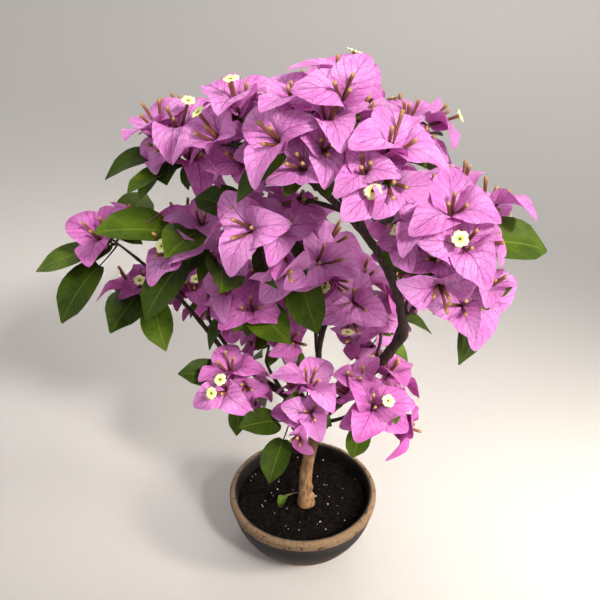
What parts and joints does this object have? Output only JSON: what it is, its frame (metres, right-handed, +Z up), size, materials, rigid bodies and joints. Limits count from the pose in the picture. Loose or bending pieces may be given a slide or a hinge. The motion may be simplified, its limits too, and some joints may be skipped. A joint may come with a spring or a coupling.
{
  "type": "bougainvillea bush in a bowl",
  "caption": "Small flowering shrub trained as a tree, with an arching bough and papery pink bracts, growing in a round earthenware bowl of soil.",
  "frame": {"origin": "middle of the bowl's flat underside", "axes": "+Z up, -Y towards the plant's front, +X to its right as seen from the front"},
  "size_m": [0.3952, 0.2977, 0.5087],
  "materials": {
    "clay": "satin glazed earthenware, dark brown with a bare tan lip",
    "earth": "matte, damp crumbly potting soil",
    "bark": "matte, tan furrowed bark",
    "dark_bark": "matte, dark brown bark",
    "bloom": "matte papery pink bracts with green leaves"
  },
  "bodies": {
    "root": {"bowl": "clay", "soil": "earth", "trunk": "bark", "elbow_limb": "dark_bark", "left_limb": "dark_bark", "middle_limb": "dark_bark", "crest_front_bough": "dark_bark", "crest_left_bough": "dark_bark", "heart_left_bough": "dark_bark", "crest_top_bough": "dark_bark", "front_pink_bough": "dark_bark", "back_top_bough": "dark_bark", "shoulder_right_bough": "dark_bark", "right_front_bough": "dark_bark", "right_low_bough": "dark_bark", "back_right_bough": "dark_bark", "right_heart_bough": "dark_bark", "left_tip_bough": "dark_bark", "left_low_bough": "dark_bark", "low_left_bough": "dark_bark", "back_left_bough": "dark_bark", "upper_left_bough": "dark_bark", "mid_left_bough": "dark_bark", "heart_low_bough": "dark_bark", "mid_heart_bough": "dark_bark", "centre_right_bough": "dark_bark", "back_heart_bough": "dark_bark", "low_middle_bough": "dark_bark", "front_low_bough": "dark_bark", "front_right_bough": "dark_bark", "low_leaves_bough": "dark_bark", "foot_shoot_bough": "dark_bark", "crest_front_spray": "bloom", "crest_left_spray": "bloom", "heart_left_spray": "bloom", "crest_top_spray": "bloom", "front_pink_spray": "bloom", "back_top_spray": "bloom", "shoulder_right_spray": "bloom", "right_front_spray": "bloom", "right_low_spray": "bloom", "back_right_spray": "bloom", "right_heart_spray": "bloom", "left_tip_spray": "bloom", "left_low_spray": "bloom", "low_left_spray": "bloom", "back_left_spray": "bloom", "upper_left_spray": "bloom", "mid_left_spray": "bloom", "heart_low_spray": "bloom", "mid_heart_spray": "bloom", "centre_right_spray": "bloom", "back_heart_spray": "bloom", "low_middle_spray": "bloom", "front_low_spray": "bloom", "front_right_spray": "bloom", "low_leaves_spray": "bloom", "foot_shoot_spray": "bloom"}
  },
  "joints": []
}
